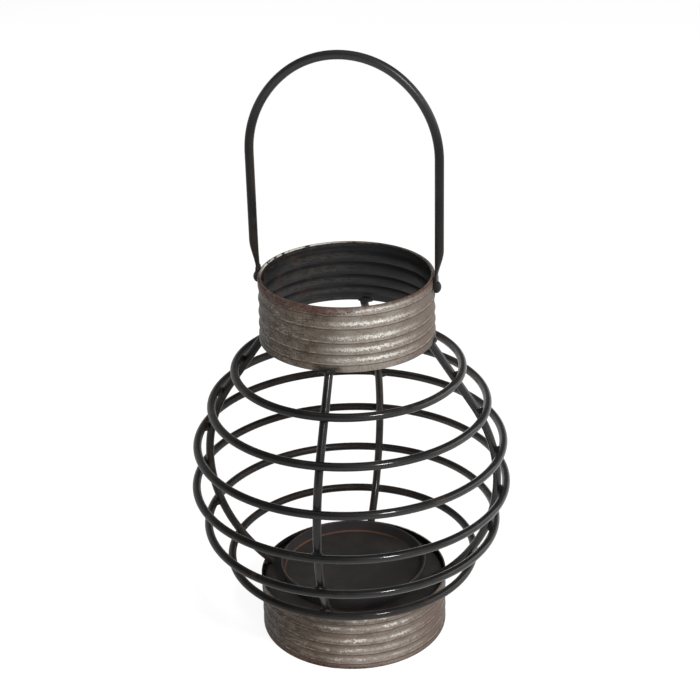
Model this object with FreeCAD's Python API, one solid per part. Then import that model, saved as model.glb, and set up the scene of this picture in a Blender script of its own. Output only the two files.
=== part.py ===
"""Candle lantern: a globe of bent wire between two fluted galvanised collars, a candle dish on the
lower collar and a bail handle riveted to the upper one.

Millimetres, +Z up. The origin is the middle of the base, on the surface that the lantern stands on.
The handle swings about X, so its two legs stand at the right (+X) and the left (-X).
"""
import FreeCAD, Part
import math
import os

# Wire and welds
wire_diameter = 4.8
weld_gap = 0.1            # root gap between two pieces that a weld joins
cross_weld_radius = 2.8   # bead where a ring crosses a rib, at its thickest
cross_weld_half = 5.0     # from the middle of that bead to its tip
collar_weld_radius = 1.8  # bead that joins a rib's end to a collar
collar_weld_half = 4.4
weld_tip_radius = 0.6

# Globe of wire: the ribs follow an arc and turn straight at the shoulder
belly_radius = 92.05      # centreline of a ring at the widest place
ring_count = 6
ring_pitch = 26.7         # from ring to ring along the ribs
lowest_ring_drop = 59.8   # arc from the widest place down to the lowest ring
shoulder_angle = math.radians(33.8)
rib_foot_inset = 4.8      # how far a rib's foot runs in past the inside of the base collar
rib_top_run = 2.5         # how far a rib's straight end runs up inside the top collar

# Sheet of the two collars: hollow flutes between sharp ridges, folded over at the free rim
sheet = 0.8
flute_depth = 0.6
hem_thickness = 2.2
hem_height = 2.4
hem_rounding = 0.8

# Ridges are given by their distance from the folded rim's edge, as shares of the collar's height
base_collar_radius = 56.3
base_collar_height = 34.6
base_collar_taper = 0.0   # how much narrower a collar is at its top than at its bottom
base_ridges = [0.10, 0.29, 0.485, 0.72, 0.90]
top_collar_radius = 50.4
top_collar_height = 37.8
top_collar_taper = 0.5
top_ridges = [0.13, 0.335, 0.555, 0.735, 0.90]

# Pressed plate inside the base collar
plate_sheet = 1.0
plate_shoulder = 2.5
plate_skirt = 9.0
plate_fit = 0.15

# Candle dish standing on the plate
dish_radius = 44.0        # outside, at the lip
dish_height = 10.0
dish_wall = 1.0
dish_floor = 3.2
dish_flare = 1.4          # how far the wall leans out from the floor to the lip

# Bail handle: a bow of three arcs, two straight legs and flattened ends
handle_wire = 5.1
bow_height = 73.6         # from the handle's pivot to the foot of the bow
flank_ease = 5.0          # how much wider the flanks' arcs are than a half circle over the legs
crown_ease = 3.0          # how much tighter the crown's arc is
paddle_thickness = 1.8
paddle_width = 6.8
paddle_length = 4.0       # flat length above the pivot
paddle_taper = 18.0       # length over which the round wire is flattened
paddle_joggle = 1.8       # how far the legs stand out from the flattened ends
paddle_edge = 0.4
paddle_tuck = 0.2         # how far the neck's lower end lies inside the flat end
paddle_clearance = 0.4    # between a flattened end and the collar

# Rivets that carry the handle
rivet_radius = 1.5
rivet_running_clearance = 0.05
rivet_hole_clearance = 0.03
rivet_head_radius = 3.4
rivet_head_height = 1.9
rivet_head_clearance = 0.15
rivet_tail_radius = 2.7
rivet_tail_height = 1.1
rivet_tail_gap = 0.05     # between a tail and the innermost sheet of the collar
rivet_rim_gap = 0.1       # between a tail and the folded rim above it

# Sizes that follow from the ones above
wire_radius = wire_diameter / 2
handle_radius = handle_wire / 2
rib_inset = wire_diameter + weld_gap
rib_radius = belly_radius - rib_inset
rib_outer = rib_radius + wire_radius

# The ribs rest on the inner edge of the base collar's rim, and that sets the height of the globe
base_rim_inner = base_collar_radius - base_collar_taper - sheet
belly_height = base_collar_height + math.sqrt((rib_outer + weld_gap) ** 2 - base_rim_inner ** 2)
rib_foot_radius = base_rim_inner - rib_foot_inset
rib_foot_angle = -math.acos(rib_foot_radius / rib_radius)

# The top collar's lower edge rests on the straight ends of the ribs
top_inner = top_collar_radius - sheet
top_edge_rise = rib_outer + weld_gap - top_inner * math.cos(shoulder_angle)
top_collar_bottom = belly_height + top_edge_rise / math.sin(shoulder_angle)
top_collar_rim = top_collar_bottom + top_collar_height
rib_top_length = math.sqrt((top_collar_bottom - belly_height) ** 2 + top_inner ** 2
                           - (rib_outer + weld_gap) ** 2) + rib_top_run

# The plate lies just under the ribs' feet
plate_top = belly_height + rib_outer * math.sin(rib_foot_angle) - weld_gap
plate_radius = base_rim_inner - flute_depth - plate_fit

pivot_height = top_collar_rim - hem_height - rivet_rim_gap - rivet_tail_radius
top_rim_radius = top_collar_radius - top_collar_taper
paddle_inner = top_rim_radius + paddle_clearance
paddle_middle = paddle_inner + paddle_thickness / 2
bow_radius = paddle_middle + paddle_joggle
flank_radius = bow_radius + flank_ease
crown_radius = bow_radius - crown_ease

rib_names = ["right", "back", "left", "front"]
quarter_turn = 90.0
z_axis = FreeCAD.Vector(0, 0, 1)
origin = FreeCAD.Vector(0, 0, 0)


def point(r, z):
    """A point of a profile that is turned about the lantern's axis."""
    return FreeCAD.Vector(r, 0, z)


def line(a, b):
    return Part.LineSegment(a, b).toShape()


def arc(a, middle, b):
    return Part.Arc(a, middle, b).toShape()


def corner_arc(centre_r, centre_z, radius, start_degrees, end_degrees):
    """A round corner of a profile, by its centre and its two angles."""
    angles = [start_degrees, (start_degrees + end_degrees) / 2, end_degrees]
    ends = []
    for angle in angles:
        turn = math.radians(angle)
        ends.append(point(centre_r + radius * math.cos(turn), centre_z + radius * math.sin(turn)))
    return arc(*ends)


def turned(edges):
    """The solid made by turning a closed profile about the lantern's axis."""
    face = Part.Face(Part.Wire(edges))
    return face.revolve(origin, z_axis, 360)


def around(shape, quarters):
    """A copy turned about the lantern's axis by a number of quarter turns."""
    copy = shape.copy()
    copy.rotate(origin, z_axis, quarter_turn * quarters)
    return copy


def save(name, shape):
    shape.exportStep(os.path.join("parts", name + ".step"))


def contour(run, inset):
    """Radius and height of the globe's outline, a run along the rings' outline from its widest place."""
    angle = min(run / belly_radius, shoulder_angle)
    straight = run - belly_radius * angle
    radius = belly_radius - inset
    r = radius * math.cos(angle) - straight * math.sin(angle)
    z = belly_height + radius * math.sin(angle) + straight * math.cos(angle)
    return r, z


def fluted_side(radius, height, ridges, place):
    """The edges of one side of the fluted sheet, from the folded rim's inner end to the plain edge."""
    runs = [share * height for share in ridges]
    edges = [line(place(radius, hem_height), place(radius, runs[0]))]
    for low, high in zip(runs, runs[1:]):
        hollow = place(radius - flute_depth, (low + high) / 2)
        edges.append(arc(place(radius, low), hollow, place(radius, high)))
    edges.append(line(place(radius, runs[-1]), place(radius, height)))
    return edges


def collar(radius, height, taper, ridges, rim_height, direction):
    """A fluted band with its folded rim at rim_height. The band runs on from there in direction."""
    def place(r, h):
        rise = h if direction > 0 else height - h
        return point(r - taper * rise / height, rim_height + direction * h)

    def rim_corner(centre_r, side):
        diagonal = hem_rounding * math.sqrt(0.5)
        start = place(centre_r + side * hem_rounding, hem_rounding)
        middle = place(centre_r + side * diagonal, hem_rounding - diagonal)
        return arc(start, middle, place(centre_r, 0))

    inner = radius - sheet
    hem_inner = radius - hem_thickness
    edges = fluted_side(radius, height, ridges, place)
    edges.append(line(place(radius, height), place(inner, height)))
    edges += fluted_side(inner, height, ridges, place)
    edges.append(line(place(inner, hem_height), place(hem_inner, hem_height)))
    edges.append(line(place(hem_inner, hem_height), place(hem_inner, hem_rounding)))
    edges.append(rim_corner(hem_inner + hem_rounding, -1))
    edges.append(line(place(hem_inner + hem_rounding, 0), place(radius - hem_rounding, 0)))
    edges.append(rim_corner(radius - hem_rounding, 1))
    edges.append(line(place(radius, hem_rounding), place(radius, hem_height)))
    return turned(Part.sortEdges(edges)[0])


def base_collar():
    return collar(base_collar_radius, base_collar_height, base_collar_taper, base_ridges, 0, 1)


def top_collar():
    """The upper band, drilled for the two rivets."""
    band = collar(top_collar_radius, top_collar_height, top_collar_taper, top_ridges, top_collar_rim, -1)
    start = FreeCAD.Vector(-2 * top_collar_radius, 0, pivot_height)
    drill = Part.makeCylinder(rivet_radius + rivet_hole_clearance, 4 * top_collar_radius, start,
                              FreeCAD.Vector(1, 0, 0))
    return band.cut(drill)


def base_plate():
    """A pressed lid: a flat top, a round shoulder and a skirt inside the base collar."""
    shoulder_r = plate_radius - plate_shoulder
    shoulder_z = plate_top - plate_shoulder
    inner_r = plate_radius - plate_sheet
    under = plate_top - plate_sheet
    bottom = plate_top - plate_skirt
    return turned([
        line(point(0, plate_top), point(shoulder_r, plate_top)),
        corner_arc(shoulder_r, shoulder_z, plate_shoulder, 90, 0),
        line(point(plate_radius, shoulder_z), point(plate_radius, bottom)),
        line(point(plate_radius, bottom), point(inner_r, bottom)),
        line(point(inner_r, bottom), point(inner_r, shoulder_z)),
        corner_arc(shoulder_r, shoulder_z, plate_shoulder - plate_sheet, 0, 90),
        line(point(shoulder_r, under), point(0, under)),
        line(point(0, under), point(0, plate_top)),
    ])


def candle_dish():
    """A shallow cup with a flared wall and a round lip, standing on the plate."""
    floor = plate_top + dish_floor
    lip_rounding = dish_wall / 2
    lip = plate_top + dish_height
    lip_z = lip - lip_rounding
    slope = dish_flare / (lip_z - floor)
    foot_r = dish_radius - slope * (lip_z - plate_top)
    inner_r = dish_radius - dish_wall
    well_r = inner_r - dish_flare
    return turned([
        line(point(0, plate_top), point(foot_r, plate_top)),
        line(point(foot_r, plate_top), point(dish_radius, lip_z)),
        arc(point(dish_radius, lip_z), point(dish_radius - lip_rounding, lip), point(inner_r, lip_z)),
        line(point(inner_r, lip_z), point(well_r, floor)),
        line(point(well_r, floor), point(0, floor)),
        line(point(0, floor), point(0, plate_top)),
    ])


def ring(run):
    r, z = contour(run, 0)
    return Part.makeTorus(r, wire_radius, FreeCAD.Vector(0, 0, z))


def rib():
    """The rib at +X: an arc from its foot to the shoulder, then a straight end up into the top collar."""
    belly_centre = FreeCAD.Vector(0, 0, belly_height)
    up_the_rib = FreeCAD.Vector(-math.sin(shoulder_angle), 0, math.cos(shoulder_angle))
    shoulder = point(rib_radius * math.cos(shoulder_angle),
                     belly_height + rib_radius * math.sin(shoulder_angle))
    section = Part.Face(Part.Wire(Part.makeCircle(wire_radius, shoulder, up_the_rib)))
    bend = math.degrees(shoulder_angle - rib_foot_angle)
    bent = section.revolve(belly_centre, FreeCAD.Vector(0, 1, 0), bend)
    straight = section.extrude(up_the_rib * rib_top_length)
    return bent.fuse(straight).removeSplitter().Solids[0]


def welds(r, z, radius, half_length, neighbours):
    """Four beads, one at each rib: thickest at the rib, tapered to both ends and cut to fit what they join."""
    ahead, behind = FreeCAD.Vector(0, 1, 0), FreeCAD.Vector(0, -1, 0)
    halves = [Part.makeCone(radius, weld_tip_radius, half_length, point(r, z), way) for way in (ahead, behind)]
    bead = halves[0].fuse(halves[1])
    for neighbour in neighbours:
        bead = bead.cut(neighbour)
    return Part.makeCompound([around(bead, k) for k in range(len(rib_names))])


def paddle_section(x, z, half_thickness, half_width):
    """One section of the flattened wire. Its seam is on the wide side, so that the sections line up."""
    centre = FreeCAD.Vector(x, 0, z)
    if half_width > half_thickness:
        edge = Part.Ellipse(centre, half_width, half_thickness).toShape()
    else:
        edge = Part.Circle(centre, z_axis, half_width).toShape()
    edge.rotate(centre, z_axis, quarter_turn)
    return Part.Wire(edge)


def handle_leg(bow_z):
    """The right leg: round wire, a flattened neck and a flat end drilled for the rivet."""
    taper_low = pivot_height + paddle_length
    taper_high = taper_low + paddle_taper
    leg = Part.makeCylinder(handle_radius, bow_z - taper_high, point(bow_radius, taper_high))

    flattening = handle_radius + paddle_tuck - paddle_thickness / 2
    widening = paddle_width / 2 - paddle_tuck - handle_radius
    sections = []
    for share in (0, 1 / 3, 2 / 3, 1):
        ease = share * share * (3 - 2 * share)
        x = bow_radius - paddle_joggle * ease
        z = taper_high - paddle_taper * share
        sections.append(paddle_section(x, z, handle_radius - flattening * ease, handle_radius + widening * ease))
    neck = Part.makeLoft(sections, True)

    half = paddle_width / 2
    flat_end = Part.makeBox(paddle_thickness, paddle_width, paddle_length,
                            FreeCAD.Vector(paddle_inner, -half, pivot_height))
    for z in (pivot_height, taper_low):
        disc = Part.makeCylinder(half, paddle_thickness, point(paddle_inner, z), FreeCAD.Vector(1, 0, 0))
        flat_end = flat_end.fuse(disc)
    flat_end = flat_end.removeSplitter()
    rims = [edge for edge in flat_end.Edges if edge.BoundBox.XLength < paddle_thickness / 2]
    flat_end = flat_end.makeFillet(paddle_edge, rims)

    eye = Part.makeCylinder(rivet_radius + rivet_running_clearance, 3 * paddle_thickness,
                            point(paddle_inner - paddle_thickness, pivot_height), FreeCAD.Vector(1, 0, 0))
    return leg.fuse(neck).fuse(flat_end).cut(eye)


def bail_handle():
    """Two legs and a bow of three arcs: a flank over each leg and a tighter crown between them."""
    bow_z = pivot_height + bow_height
    flank_centre = point(bow_radius - flank_radius, bow_z)
    flank_turn = math.acos((flank_radius - bow_radius) / (flank_radius - crown_radius))
    crown_centre = point(0, bow_z + (flank_radius - crown_radius) * math.sin(flank_turn))
    inward = FreeCAD.Vector(0, -1, 0)

    section = Part.Face(Part.Wire(Part.makeCircle(handle_radius, point(bow_radius, bow_z), z_axis)))
    flank = section.revolve(flank_centre, inward, math.degrees(flank_turn))
    section.rotate(flank_centre, inward, math.degrees(flank_turn))
    crown = section.revolve(crown_centre, inward, 180 - 2 * math.degrees(flank_turn))
    half = handle_leg(bow_z).fuse(flank)
    return crown.fuse([half, around(half, 2)]).removeSplitter().Solids[0]


def handle_rivet():
    """The right rivet: a domed head outside the handle's end and a flat tail inside the collar."""
    head_x = paddle_inner + paddle_thickness + rivet_head_clearance
    hollow = top_rim_radius - sheet - flute_depth
    wall_x = math.sqrt(hollow ** 2 - rivet_tail_radius ** 2) - rivet_tail_gap
    tail_x = wall_x - rivet_tail_height
    dome_radius = (rivet_head_radius ** 2 + rivet_head_height ** 2) / (2 * rivet_head_height)
    dome_x = head_x + rivet_head_height - dome_radius
    half_turn = math.asin(rivet_head_radius / dome_radius) / 2

    def at(x, r):
        return point(x, pivot_height + r)

    crown = at(dome_x + dome_radius, 0)
    shoulder = at(dome_x + dome_radius * math.cos(half_turn), dome_radius * math.sin(half_turn))
    profile = Part.Face(Part.Wire([
        line(at(tail_x, 0), at(tail_x, rivet_tail_radius)),
        line(at(tail_x, rivet_tail_radius), at(wall_x, rivet_tail_radius)),
        line(at(wall_x, rivet_tail_radius), at(wall_x, rivet_radius)),
        line(at(wall_x, rivet_radius), at(head_x, rivet_radius)),
        line(at(head_x, rivet_radius), at(head_x, rivet_head_radius)),
        arc(at(head_x, rivet_head_radius), shoulder, crown),
        line(crown, at(tail_x, 0)),
    ]))
    return profile.revolve(at(0, 0), FreeCAD.Vector(1, 0, 0), 360)


os.makedirs("parts", exist_ok=True)

lower_band = base_collar()
upper_band = top_collar()
plate = base_plate()
rib_right = rib()
save("base_collar", lower_band)
save("top_collar", upper_band)
save("base_plate", plate)
save("candle_dish", candle_dish())

for quarters, name in enumerate(rib_names):
    save("rib_" + name, around(rib_right, quarters))

# Rings are numbered from the top of the globe
for number in range(ring_count):
    run = (ring_count - 1 - number) * ring_pitch - lowest_ring_drop
    hoop = ring(run)
    crossing_r, crossing_z = contour(run, rib_inset / 2)
    beads = welds(crossing_r, crossing_z, cross_weld_radius, cross_weld_half, [around(hoop, 0.5), rib_right])
    save("ring_%d" % (number + 1), hoop)
    save("ring_%d_welds" % (number + 1), beads)

# The lower beads lie in the corner between a rib's foot and the inside of the base collar
foot_welds = welds(base_rim_inner - 2 * collar_weld_radius / 3, base_collar_height - collar_weld_radius / 3,
                   collar_weld_radius, collar_weld_half, [lower_band, plate, rib_right])
top_welds = welds(top_collar_radius - sheet / 2, top_collar_bottom - weld_gap, collar_weld_radius,
                  collar_weld_half, [upper_band, rib_right])
save("rib_foot_welds", foot_welds)
save("rib_top_welds", top_welds)

save("bail_handle", bail_handle())
rivet = handle_rivet()
save("handle_rivet_right", rivet)
save("handle_rivet_left", around(rivet, 2))
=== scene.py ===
import math

import bpy
from mathutils import Matrix, Vector

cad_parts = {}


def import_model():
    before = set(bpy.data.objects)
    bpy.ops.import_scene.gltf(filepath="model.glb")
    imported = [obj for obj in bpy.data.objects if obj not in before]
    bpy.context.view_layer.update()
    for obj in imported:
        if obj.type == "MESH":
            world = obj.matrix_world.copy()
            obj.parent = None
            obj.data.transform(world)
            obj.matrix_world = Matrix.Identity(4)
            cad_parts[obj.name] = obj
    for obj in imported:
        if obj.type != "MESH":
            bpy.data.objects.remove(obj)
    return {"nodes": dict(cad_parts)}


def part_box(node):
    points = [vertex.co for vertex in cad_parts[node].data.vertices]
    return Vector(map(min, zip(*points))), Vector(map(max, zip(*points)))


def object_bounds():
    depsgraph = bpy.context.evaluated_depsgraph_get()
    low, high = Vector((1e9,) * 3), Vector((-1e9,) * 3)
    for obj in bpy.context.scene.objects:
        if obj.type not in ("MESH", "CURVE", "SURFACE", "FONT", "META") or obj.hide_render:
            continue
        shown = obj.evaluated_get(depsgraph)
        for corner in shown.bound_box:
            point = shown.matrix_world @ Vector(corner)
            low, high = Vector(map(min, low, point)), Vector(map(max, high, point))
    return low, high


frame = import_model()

cad_low, cad_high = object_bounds()
nodes = frame["nodes"]
base_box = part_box("base_collar")
top_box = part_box("top_collar")
dish_low, dish_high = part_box("candle_dish")


def rgb(red, green, blue):
    """A colour as seen on a screen, 0 to 255, in the light's own linear numbers."""
    def linear(value):
        share = value / 255
        return share / 12.92 if share <= 0.04045 else ((share + 0.055) / 1.055) ** 2.4
    return (linear(red), linear(green), linear(blue), 1.0)


# The photograph's camera: metres, and degrees from level and from the front of the lantern
camera_azimuth = 12.956
camera_distance = 0.84429
camera_height = 0.57685
camera_pitch = 25.067
camera_yaw = -0.077
camera_roll = -1.427
camera_lens = 83.511
camera_sensor = 36.0

# Light: watts, metres, degrees and strengths
key_power = 10.0
key_size = (0.2, 0.2)
key_azimuth = 40.0
key_distance = 1.1
key_height = 1.0
right_power = 8.0
right_size = (1.6, 0.8)
right_azimuth = 105.0
right_distance = 1.5
right_height = 0.8
left_power = 1.8
left_size = (1.5, 0.8)
left_azimuth = -130.0
left_distance = 1.5
left_height = 0.7
top_power = 2.0
top_size = (1.2, 1.2)
top_height = 1.6
room_light = 0.16

# Floor and the low wall around it
floor_radius = 6.0
floor_sides = 64
wall_height = 1.6
floor_gap = 0.0001
floor_albedo = 0.8
floor_seen_albedo = 0.3
floor_seen_glow = 0.9

# Ridges of the collars, metres from the folded rim's edge
base_ridges = [0.0035, 0.0100, 0.0168, 0.0249, 0.0311]
top_ridges = [0.0049, 0.0127, 0.0210, 0.0278, 0.0340]

# Bright flakes and the pale zinc around them, partly real flakes and partly a painted highlight and
# painted sheen, metres above a ridge and from the middle of the flakes
flake_highlight_rise = 0.003
flake_highlight_low = -0.0010
flake_highlight_high = 0.0014
flake_highlight_core = 0.0004
flake_highlight_fray = 0.003
glow_reach = 0.0028

# Dark line on a ridge and the painted highlight line above it, metres
ridge_line_reach = 0.00045
ridge_line_fray = 0.0002
sheen_line_rise = 0.0008
sheen_line_reach = 0.0006
line_core = 0.0001

# Soot beside the ribs at a collar's plain edge, metres
soot_reach = 0.010
soot_core = 0.004
soot_fray = 0.004
soot_depth = 0.0045
soot_full_depth = 0.002
soot_edge_fray = 0.001

# Rust along the folded rim, metres
rust_thin = 0.0012
rust_fray = 0.002
rust_outer = 0.0006
rust_inner = -0.0008

# Bare metal on the inner part of a rim, and the painted highlight in the flutes inside, metres
bare_start = 0.0012
bare_full = 0.0018
hollow_start = 0.0012
hollow_full = 0.0026

# Black paint, metres: the crown from the top of the handle, the feet from the plate, the gloss across
crown_depth = 0.057
crown_full_depth = 0.012
foot_height = 0.028
foot_full_height = 0.006
gloss_left = -0.04
gloss_right = 0.05

# Candle dish, metres: the radius of its floor, the floor's thickness, and the soft edge of its wear
dish_well = 0.0416
dish_floor = 0.0032
dish_edge = 0.0006
dish_edge_full = 0.0002
copper_reach = 0.0003
copper_core = 0.0001

# Depths of the bumps, metres
dent_depth = 0.0005
pit_depth = 0.0003
paint_depth = 0.0002

# Coats of the black paint: weight and roughness
wire_coat = 0.45
dull_coat = 0.05
crown_coat = 0.4
wire_haze = 0.1
handle_haze = 0.3

# Colours of the collars
# Maroon at the far right edge, partly the zinc's real colour and partly painted shade
maroon_and_shade_zinc = rgb(98, 78, 68)
pale_zinc = rgb(190, 182, 172)
sheen_zinc = rgb(196, 189, 180)
flake_highlight_zinc = rgb(244, 240, 233)
bare_zinc = rgb(232, 226, 216)
far_left_shade_brown = rgb(40, 34, 30)
pit_brown = rgb(84, 70, 58)
hole_brown = rgb(36, 28, 24)
ridge_line_brown = rgb(54, 44, 38)
soot_black = rgb(40, 38, 36)
dark_rust = rgb(74, 46, 42)
light_rust = rgb(108, 76, 68)
inside_black = rgb(21, 22, 25)
inside_highlight_grey = rgb(58, 56, 53)
inside_brown = rgb(74, 54, 42)

# Colours of the wire, the plate and the dish
wire_black = rgb(17, 17, 17)
wire_grey = rgb(26, 25, 24)
wire_brown = rgb(72, 58, 48)
crown_lit_grey = rgb(36, 36, 37)
plate_black = rgb(50, 48, 48)
plate_grey = rgb(68, 64, 61)
dish_black = rgb(50, 49, 51)
dish_grey = rgb(66, 62, 60)
dish_dark_brown = rgb(49, 47, 46)
dish_brown = rgb(65, 60, 57)
dish_copper = rgb(128, 90, 73)

# The collars' wear, with painted shade at the left and painted highlights in the flutes: colours, shares,
# places from -1 at the left to 1 at the right, and rust in metres
top_look = {
    "zinc": rgb(167, 159, 149), "dark_zinc": rgb(136, 127, 117), "brown": rgb(120, 106, 94),
    "stain_and_shade": rgb(126, 114, 102), "dark_stain_and_shade": rgb(86, 75, 66), "stain_and_shade_end": -0.2, "far_left_shade": 0.5,
    "pale": 0.8, "flake_highlight_start": -0.15, "flake_highlight_cut": 0.12, "patches": 0.8, "rust": 0.0046, "soot": 0.85,
}
base_look = {
    "zinc": rgb(153, 139, 126), "dark_zinc": rgb(123, 109, 98), "brown": rgb(108, 91, 78),
    "stain_and_shade": rgb(116, 100, 86), "dark_stain_and_shade": rgb(82, 68, 58), "stain_and_shade_end": -0.3, "far_left_shade": 0.9,
    "pale": 0.6, "flake_highlight_start": -0.6, "flake_highlight_cut": 0.16, "patches": 0.25, "rust": 0.0028, "soot": 0.2,
}


def around(azimuth, distance, height):
    """A point around the lantern. Azimuth 0 is the front and 90 the right."""
    turn = math.radians(azimuth)
    return Vector((distance * math.sin(turn), -distance * math.cos(turn), height))


class Nodes:
    """A material's node tree, with short calls for the nodes that the finishes share."""

    def __init__(self, name):
        self.material = bpy.data.materials.new(name)
        self.material.use_nodes = True
        self.tree = self.material.node_tree
        self.tree.nodes.clear()
        self.out = self.tree.nodes.new("ShaderNodeOutputMaterial")

    def set(self, socket, value):
        if isinstance(value, bpy.types.NodeSocket):
            self.tree.links.new(value, socket)
        else:
            socket.default_value = value

    def add(self, kind, inputs, **settings):
        made = self.tree.nodes.new("ShaderNode" + kind)
        for name, value in settings.items():
            setattr(made, name, value)
        for name, value in inputs.items():
            self.set(made.inputs[name], value)
        return made

    def place(self):
        """Coordinates in the lantern's own frame, in metres."""
        return self.add("TexCoord", {}).outputs["Object"]

    def normal(self):
        """The direction that the surface faces, in the lantern's own frame."""
        return self.add("TexCoord", {}).outputs["Normal"]

    def split(self, vector):
        return self.add("SeparateXYZ", {0: vector}).outputs

    def dot(self, a, b):
        return self.add("VectorMath", {0: a, 1: b}, operation="DOT_PRODUCT").outputs["Value"]

    def flat(self, x, y):
        """The direction away from the lantern's axis, and the distance from it."""
        arm = self.add("CombineXYZ", {0: x, 1: y}).outputs[0]
        direction = self.add("VectorMath", {0: arm}, operation="NORMALIZE").outputs[0]
        return direction, self.add("VectorMath", {0: arm}, operation="LENGTH").outputs["Value"]

    def calc(self, operation, a, b=0.0):
        return self.add("Math", {0: a, 1: b}, operation=operation).outputs[0]

    def chain(self, operation, values):
        result = values[0]
        for value in values[1:]:
            result = self.calc(operation, result, value)
        return result

    def times(self, *values):
        return self.chain("MULTIPLY", values)

    def largest(self, *values):
        return self.chain("MAXIMUM", values)

    def smallest(self, *values):
        return self.chain("MINIMUM", values)

    def plus(self, a, b):
        return self.calc("ADD", a, b)

    def minus(self, a, b):
        return self.calc("SUBTRACT", a, b)

    def share(self, a, b):
        return self.calc("DIVIDE", a, b)

    def size(self, value):
        """The value without its sign."""
        return self.calc("ABSOLUTE", value)

    def smooth(self, value, low, high):
        """0 below low, 1 above high and a smooth step between them. Low may be the larger one."""
        made = self.add("MapRange", {"Value": value, "From Min": low, "From Max": high},
                        interpolation_type="SMOOTHSTEP")
        return made.outputs["Result"]

    def scale(self, value, low, high):
        """Brings 0 to 1 to the range from low to high."""
        return self.add("MapRange", {"Value": value, "To Min": low, "To Max": high}).outputs["Result"]

    def frayed(self, value, noise, reach):
        """The value moved up and down by a noise, so that what it bounds has a ragged edge."""
        return self.plus(value, self.scale(noise, -reach, reach))

    def banded(self, place, times):
        """Coordinates in which a noise's spots are that many times lower."""
        return self.add("VectorMath", {0: place, 1: (1, 1, times)}, operation="MULTIPLY").outputs[0]

    def noise(self, place, scale, detail, roughness):
        inputs = {"Vector": place, "Scale": scale, "Detail": detail, "Roughness": roughness}
        return self.add("TexNoise", inputs).outputs["Fac"]

    def mix(self, share, a, b):
        """A colour between two others. The sockets go by number, as their names aren't unique."""
        return self.add("Mix", {"Factor": share, 6: a, 7: b}, data_type="RGBA").outputs[2]

    def bump(self, height, distance, strength, below=None):
        inputs = {"Height": height, "Distance": distance, "Strength": strength}
        if below is not None:
            inputs["Normal"] = below
        return self.add("Bump", inputs).outputs[0]

    def show(self, shader):
        self.tree.links.new(shader, self.out.inputs["Surface"])
        return self.material

    def finish(self, **inputs):
        named = {name.replace("_", " "): value for name, value in inputs.items()}
        return self.show(self.add("BsdfPrincipled", named).outputs[0])


class CollarNodes(Nodes):
    """A collar's node tree, with the places and the noises that its kinds of wear share."""

    def __init__(self, name, box, rim_z, inward, ridges, look):
        super().__init__(name)
        low, high = box
        self.radius = high.x
        self.height = high.z - low.z
        self.inward = inward
        self.ridges = ridges
        self.look = look

        place = self.place()
        self.x, self.y, z = self.split(place)
        self.away, self.distance = self.flat(self.x, self.y)
        self.depth = self.times(self.minus(z, rim_z), inward)
        self.side = self.share(self.x, self.radius)
        self.front = self.share(self.y, -self.radius)
        self.ridge_gap = self.smallest(*[self.size(self.minus(self.depth, ridge)) for ridge in ridges])

        # Each noise by its scale per metre, detail and roughness
        self.cloud = self.noise(place, 38.0, 4.0, 0.6)
        self.region = self.noise(self.banded(place, 3.0), 55.0, 2.0, 0.5)
        self.blotch = self.noise(self.banded(place, 2.0), 120.0, 4.0, 0.65)
        self.streak = self.noise(self.banded(place, 5.0), 240.0, 3.0, 0.7)
        self.crystal = self.noise(self.banded(place, 1.4), 420.0, 3.0, 0.6)
        self.fleck = self.noise(self.banded(place, 1.3), 800.0, 3.0, 0.7)
        self.grit = self.noise(place, 1500.0, 2.0, 0.7)


def stained_and_shaded_zinc(c, left):
    """Grey zinc, maroon at the far right, and brown with pale flecks at the left. The maroon and the brown
    at the left are partly real stain and partly painted shade; the darkest brown at the far left is
    painted shade.
    """
    look = c.look
    zinc = c.mix(c.smooth(c.grit, 0.35, 0.65), look["zinc"], look["dark_zinc"])
    zinc = c.mix(c.times(c.smooth(c.blotch, 0.45, 0.65), 0.5), zinc, look["brown"])
    clouded = c.times(c.smooth(c.cloud, 0.52, 0.64), c.smooth(c.crystal, 0.4, 0.55))
    zinc = c.mix(c.times(clouded, 0.45), zinc, look["brown"])
    # Maroon at the far right: partly real colour, partly painted shade at the edge of the band
    zinc = c.mix(c.times(c.smooth(c.side, 0.6, 1.0), 0.7), zinc, maroon_and_shade_zinc)

    # Painted shade and stain: the left side darker and browner, partly a real brown stain and partly shade
    # away from the lamps
    stain_and_shade = c.mix(c.smooth(c.times(c.blotch, c.grit), 0.17, 0.32), look["dark_stain_and_shade"], look["stain_and_shade"])
    # Painted shade: darkest at the far left
    stain_and_shade = c.mix(c.times(c.smooth(c.side, -0.45, -0.9), look["far_left_shade"]), stain_and_shade, far_left_shade_brown)
    zinc = c.mix(left, zinc, stain_and_shade)

    pale = c.times(c.smooth(c.fleck, 0.46, 0.58), c.smooth(c.streak, 0.46, 0.58))
    pale = c.times(pale, c.smooth(c.side, 0.0, -0.6), c.scale(c.smooth(c.region, 0.42, 0.6), 0.4, 1.0))
    return c.mix(c.times(pale, look["pale"]), zinc, pale_zinc)


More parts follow.
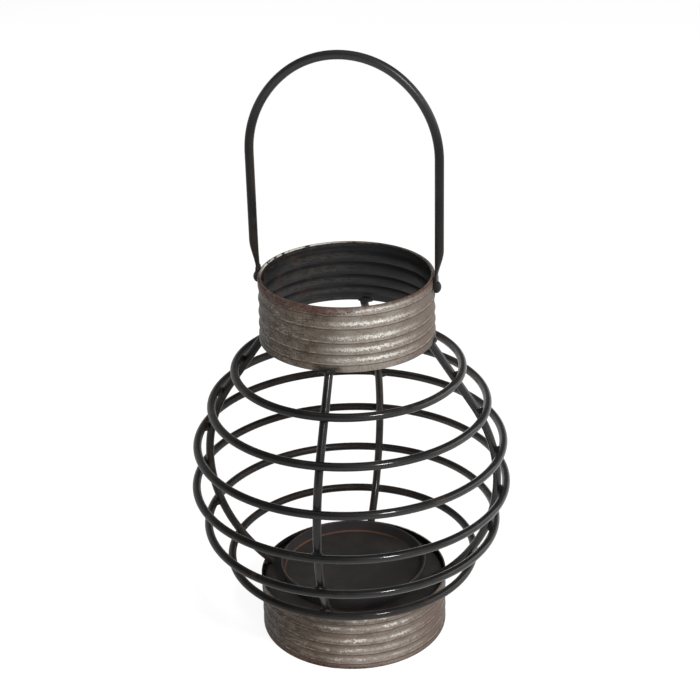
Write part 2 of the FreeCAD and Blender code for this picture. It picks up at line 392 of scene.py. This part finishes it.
def flakes_and_highlights(c, zinc):
    """Bright flakes in each flute, partly real flakes and partly a painted highlight with a painted sheen
    around it where the light falls, ragged and pitted where the zinc is eaten away.
    """
    strips = []
    glows = []
    for ridge in c.ridges:
        above = c.times(c.minus(c.depth, ridge + flake_highlight_rise * c.inward), c.inward)
        ragged = c.frayed(above, c.fleck, flake_highlight_fray)
        strip = c.times(c.smooth(ragged, flake_highlight_low, -flake_highlight_core), c.smooth(ragged, flake_highlight_high, flake_highlight_core))
        strips.append(strip)
        glows.append(c.smooth(c.size(above), glow_reach, 0.0))
    glow = c.largest(*glows)
    lit = c.times(c.smooth(c.side, c.look["flake_highlight_start"], 0.42), c.smooth(c.side, 0.98, 0.5))
    # Painted sheen around the flakes, in the part of the band where the light falls
    zinc = c.mix(c.times(glow, lit, 0.35), zinc, sheen_zinc)

    eaten = c.smooth(c.side, -0.3, 0.2)
    pits = c.times(c.smooth(c.fleck, 0.44, 0.34), c.scale(glow, 0.25, 0.6), eaten)
    zinc = c.mix(pits, zinc, pit_brown)

    cut = c.look["flake_highlight_cut"]
    patch = c.scale(c.smooth(c.region, 0.44, 0.58), c.look["patches"], 1.0)
    whole = c.smooth(c.times(c.crystal, c.blotch), cut, cut + 0.16)
    # Painted highlight: the flakes brightest in the lit part of the band
    zinc = c.mix(c.times(c.largest(*strips), lit, patch, whole), zinc, flake_highlight_zinc)

    holes = c.times(c.smooth(c.fleck, 0.36, 0.3), c.smooth(c.crystal, 0.5, 0.6), eaten)
    return c.mix(c.times(holes, 0.85), zinc, hole_brown)


def lined(c, zinc):
    """Dark lines along each ridge, with a painted highlight line above it."""
    lines = []
    for ridge in c.ridges:
        off = c.size(c.minus(c.depth, ridge + sheen_line_rise * c.inward))
        lines.append(c.smooth(off, sheen_line_reach, line_core))
    # Painted highlight: a light line above each ridge, where the flute faces up
    sheen_line = c.times(c.largest(*lines), c.smooth(c.streak, 0.42, 0.56), 0.4)
    zinc = c.mix(sheen_line, zinc, sheen_zinc)
    # A dark line along each ridge
    ridge_line = c.smooth(c.frayed(c.ridge_gap, c.crystal, ridge_line_fray), ridge_line_reach, line_core)
    return c.mix(c.times(ridge_line, 0.65), zinc, ridge_line_brown)


def soot_share(c):
    """Black from the ribs' welds at the plain edge."""
    near = c.smallest(c.size(c.x), c.size(c.y))
    near = c.smooth(c.frayed(near, c.blotch, soot_fray), soot_reach, soot_core)
    edge = c.frayed(c.depth, c.crystal, soot_edge_fray)
    return c.times(near, c.smooth(edge, c.height - soot_depth, c.height - soot_full_depth))


def rust_share(c):
    """Rust along the folded rim, in a wide band at the left and a thin one at the right."""
    thin = c.smooth(c.frayed(c.side, c.blotch, 0.2), 0.0, 0.55)
    band = c.scale(thin, c.look["rust"], rust_thin)
    edge = c.minus(c.frayed(c.depth, c.fleck, rust_fray), band)
    uneven = c.scale(c.smooth(c.crystal, 0.3, 0.6), 0.5, 1.0)
    return c.times(c.smooth(edge, rust_outer, rust_inner), uneven)


def bare_share(c, normal):
    """Bare metal on the edges that face up, most at the sides and the back."""
    up = c.smooth(c.split(normal)[2], 0.2, 0.5)
    behind = c.smooth(c.front, 0.4, -0.1)
    worn = c.scale(c.smooth(c.minus(c.side, c.front), 1.3, 0.2), 0.25, 1.0)
    inner_edge = c.smooth(c.distance, c.radius - bare_start, c.radius - bare_full)
    return c.times(up, behind, c.smooth(c.streak, 0.4, 0.5), worn, inner_edge)


def inside_paint(c):
    """Black paint, with a painted highlight in the flutes at the left, and brown in places at the left."""
    hollow = c.smooth(c.ridge_gap, hollow_start, hollow_full)
    # Painted highlight in the flutes inside, at the left, where the right-hand lamp would catch them
    shine = c.times(hollow, c.smooth(c.side, 0.4, -0.5), c.smooth(c.streak, 0.36, 0.56))
    shine = c.times(shine, c.scale(c.smooth(c.side, -1.0, -0.6), 0.3, 1.0))
    paint = c.mix(shine, inside_black, inside_highlight_grey)
    browned = c.times(c.smooth(c.blotch, 0.5, 0.64), c.smooth(c.side, -0.2, -0.8), 0.35)
    return c.mix(browned, paint, inside_brown)


def galvanised(name, box, rim_z, inward, ridges, look):
    """Worn zinc on a fluted band, with black paint on its inside. Inward is 1 where the rim is below."""
    c = CollarNodes(name, box, rim_z, inward, ridges, look)
    normal = c.normal()
    # Where the left side gets its stain and painted shade
    left = c.smooth(c.frayed(c.side, c.cloud, 0.3), 0.35, look["stain_and_shade_end"])
    soot = soot_share(c)
    rust = rust_share(c)
    bare = bare_share(c, normal)
    inside = c.smooth(c.frayed(c.dot(normal, c.away), c.blotch, 0.1), 0.0, -0.2)
    inside = c.times(inside, c.minus(1.0, bare))
    outside = c.minus(1.0, inside)

    zinc = lined(c, flakes_and_highlights(c, stained_and_shaded_zinc(c, left)))
    zinc = c.mix(c.times(soot, look["soot"]), zinc, soot_black)
    red = c.mix(c.smooth(c.fleck, 0.35, 0.65), dark_rust, light_rust)
    zinc = c.mix(c.times(rust, 0.8), zinc, red)
    zinc = c.mix(c.times(bare, 0.9), zinc, bare_zinc)
    colour = c.mix(inside, zinc, inside_paint(c))

    dull = c.largest(soot, rust, c.times(left, 0.85), c.times(c.smooth(c.side, 0.7, 1.0), 0.8))
    dull = c.times(dull, outside)
    rough = c.plus(c.scale(c.smooth(c.fleck, 0.3, 0.7), 0.28, 0.44), c.times(dull, 0.2))
    metal = c.scale(c.largest(dull, inside), 0.4, 0.0)
    gloss = c.plus(c.scale(dull, 0.3, 0.08), c.times(inside, 0.05))
    dents = c.bump(c.crystal, dent_depth, c.scale(outside, 0.0, 0.3))
    skin = c.bump(c.fleck, pit_depth, c.scale(outside, 0.05, 0.4), dents)
    return c.finish(Base_Color=colour, Metallic=metal, Roughness=rough, Specular_IOR_Level=gloss,
                    Normal=skin)


def black_paint(name, weight, haze):
    """Satin black paint: brown where it faces in, dull at the feet and the left, and greyer at the crown
    as painted light from above.
    """
    n = Nodes(name)
    place = n.place()
    x, y, z = n.split(place)
    away, _ = n.flat(x, y)
    rub = n.noise(place, 70.0, 4.0, 0.6)
    grain = n.noise(place, 900.0, 3.0, 0.6)
    crown = n.smooth(z, cad_high.z - crown_depth, cad_high.z - crown_full_depth)
    foot = n.smooth(z, dish_low.z + foot_height, dish_low.z + foot_full_height)
    inner = n.smooth(n.dot(n.normal(), away), 0.2, -0.6)

    black = n.mix(n.smooth(rub, 0.35, 0.65), wire_black, wire_grey)
    # Painted light: the crown of the handle lighter, as if lit from above
    black = n.mix(crown, black, crown_lit_grey)
    spots = n.times(n.smooth(rub, 0.58, 0.72), 0.45)
    inner_wear = n.times(inner, n.smooth(rub, 0.3, 0.6), 0.3)
    foot_wear = n.times(foot, n.smooth(grain, 0.35, 0.6), 0.5)
    colour = n.mix(n.largest(spots, inner_wear, foot_wear), black, wire_brown)

    rough = n.plus(n.scale(grain, 0.36, 0.52), n.times(foot, 0.15))
    fresh = n.scale(n.smooth(x, gloss_left, gloss_right), 0.2, 1.4)
    coat = n.plus(n.times(n.scale(foot, weight, 0.0), fresh), n.times(crown, crown_coat))
    skin = n.bump(grain, paint_depth, 0.1)
    return n.finish(Base_Color=colour, Roughness=rough, Specular_IOR_Level=0.2, Normal=skin,
                    Coat_Weight=coat, Coat_Roughness=haze)


def black_sheet(name):
    """Dull black paint on the base plate."""
    n = Nodes(name)
    place = n.place()
    rub = n.noise(place, 45.0, 4.0, 0.6)
    grain = n.noise(place, 700.0, 3.0, 0.6)
    colour = n.mix(n.smooth(rub, 0.3, 0.7), plate_black, plate_grey)
    rough = n.scale(grain, 0.42, 0.6)
    skin = n.bump(grain, paint_depth, 0.3)
    return n.finish(Base_Color=colour, Roughness=rough, Specular_IOR_Level=0.25, Normal=skin)


def worn_dish(name):
    """Black dish, brown on its floor and rubbed to copper in the corner of the floor and at the lip."""
    n = Nodes(name)
    place = n.place()
    x, y, z = n.split(place)
    _, distance = n.flat(x, y)
    side = n.share(x, dish_high.x)
    back = n.share(y, dish_high.x)
    rub = n.noise(place, 45.0, 4.0, 0.6)
    blotch = n.noise(place, 160.0, 3.0, 0.6)
    grain = n.noise(place, 700.0, 3.0, 0.6)

    floor_z = dish_low.z + dish_floor
    on_floor = n.smooth(z, floor_z + dish_edge, floor_z + dish_edge_full)
    brown = n.mix(n.smooth(rub, 0.3, 0.7), dish_dark_brown, dish_brown)
    colour = n.mix(on_floor, n.mix(rub, dish_black, dish_grey), brown)

    corner = n.size(n.minus(distance, dish_well))
    copper = n.times(n.smooth(corner, copper_reach, copper_core), n.smooth(blotch, 0.2, 0.45))
    copper = n.times(copper, n.smooth(n.minus(back, side), -0.2, 0.9))
    lip = n.smooth(z, dish_high.z - dish_edge, dish_high.z - dish_edge_full)
    lip = n.times(lip, n.smooth(blotch, 0.4, 0.6), n.scale(n.smooth(side, 0.2, -0.7), 0.1, 0.4))
    colour = n.mix(n.times(n.largest(copper, lip), 0.9), colour, dish_copper)
    rough = n.scale(grain, 0.42, 0.6)
    skin = n.bump(grain, paint_depth, 0.25)
    return n.finish(Base_Color=colour, Roughness=rough, Specular_IOR_Level=0.3, Normal=skin)


def seen_directly(n):
    """1 on rays that come from the camera, or from it by a mirror or glass."""
    path = n.add("LightPath", {}).outputs
    return n.largest(path["Is Camera Ray"], path["Is Glossy Ray"], path["Is Transmission Ray"])


def floor_paint():
    """White to the eye, so that the shadow shows on it, and plain pale grey to the light."""
    n = Nodes("floor")
    plain = n.add("BsdfDiffuse", {"Color": (floor_albedo, floor_albedo, floor_albedo, 1)}).outputs[0]
    seen_colour = (floor_seen_albedo, floor_seen_albedo, floor_seen_albedo, 1)
    pale = n.add("BsdfDiffuse", {"Color": seen_colour}).outputs[0]
    glow = n.add("Emission", {"Strength": floor_seen_glow}).outputs[0]
    bright = n.add("AddShader", {0: pale, 1: glow}).outputs[0]
    return n.show(n.add("MixShader", {0: seen_directly(n), 1: plain, 2: bright}).outputs[0])


def floor():
    """A round floor with a low wall at its edge."""
    turns = [360.0 * side / floor_sides for side in range(floor_sides)]
    corners = [around(turn, floor_radius, z) for z in (0.0, wall_height) for turn in turns]
    ground = list(range(floor_sides))
    pairs = zip(ground, ground[1:] + ground[:1])
    wall = [(a, b, b + floor_sides, a + floor_sides) for a, b in pairs]
    mesh = bpy.data.meshes.new("floor")
    mesh.from_pydata(corners, [], [ground] + wall)
    mesh.materials.append(floor_paint())
    piece = bpy.data.objects.new("floor", mesh)
    piece.location.z = -floor_gap
    bpy.context.scene.collection.objects.link(piece)


def world():
    made = bpy.data.worlds.new("studio")
    made.use_nodes = True
    background = made.node_tree.nodes["Background"]
    background.inputs["Color"].default_value = (1, 1, 1, 1)
    background.inputs["Strength"].default_value = room_light
    bpy.context.scene.world = made


def area_light(name, power, size, place):
    """A soft light that points at the middle of the lantern."""
    light = bpy.data.lights.new(name, "AREA")
    light.energy = power
    light.shape = "RECTANGLE"
    light.size, light.size_y = size
    lamp = bpy.data.objects.new(name, light)
    lamp.location = place
    middle = Vector((0, 0, (cad_low.z + cad_high.z) / 2))
    lamp.rotation_euler = (middle - place).to_track_quat("-Z", "Y").to_euler()
    bpy.context.scene.collection.objects.link(lamp)


def lights():
    area_light("key", key_power, key_size, around(key_azimuth, key_distance, key_height))
    area_light("right", right_power, right_size, around(right_azimuth, right_distance, right_height))
    area_light("left", left_power, left_size, around(left_azimuth, left_distance, left_height))
    area_light("top", top_power, top_size, around(0, 0, top_height))


def camera():
    pitch = math.radians(camera_pitch)
    level = Matrix.Rotation(math.radians(camera_azimuth + camera_yaw), 3, "Z")
    right = level @ Vector((1, 0, 0))
    up = level @ Vector((0, math.sin(pitch), math.cos(pitch)))
    roll = math.radians(camera_roll)
    across = right * math.cos(roll) + up * math.sin(roll)
    upward = up * math.cos(roll) - right * math.sin(roll)
    back = across.cross(upward)
    lens = bpy.data.cameras.new("camera")
    lens.lens = camera_lens
    lens.sensor_width = camera_sensor
    lens.sensor_fit = "HORIZONTAL"
    made = bpy.data.objects.new("camera", lens)
    turn = Matrix((across, upward, back)).transposed().to_4x4()
    made.matrix_world = Matrix.Translation(around(camera_azimuth, camera_distance, camera_height)) @ turn
    bpy.context.scene.collection.objects.link(made)
    bpy.context.scene.camera = made


def paint(piece, material):
    for slot in piece.material_slots:
        slot.material = material


wire = black_paint("black_wire_paint", wire_coat, wire_haze)
dull_black = black_paint("dull_black_paint", dull_coat, wire_haze)
finishes = {
    "bail_handle": black_paint("black_handle_paint", dull_coat, handle_haze),
    "base_collar": galvanised("base_zinc", base_box, base_box[0].z, 1.0, base_ridges, base_look),
    "top_collar": galvanised("top_zinc", top_box, top_box[1].z, -1.0, top_ridges, top_look),
    "base_plate": black_sheet("black_plate_paint"),
    "candle_dish": worn_dish("worn_dish_paint"),
}
for name, piece in nodes.items():
    usual = dull_black if "welds" in name or "rivet" in name else wire
    paint(piece, finishes.get(name, usual))

camera()
floor()
world()
lights()
bpy.context.scene.view_settings.view_transform = "Standard"
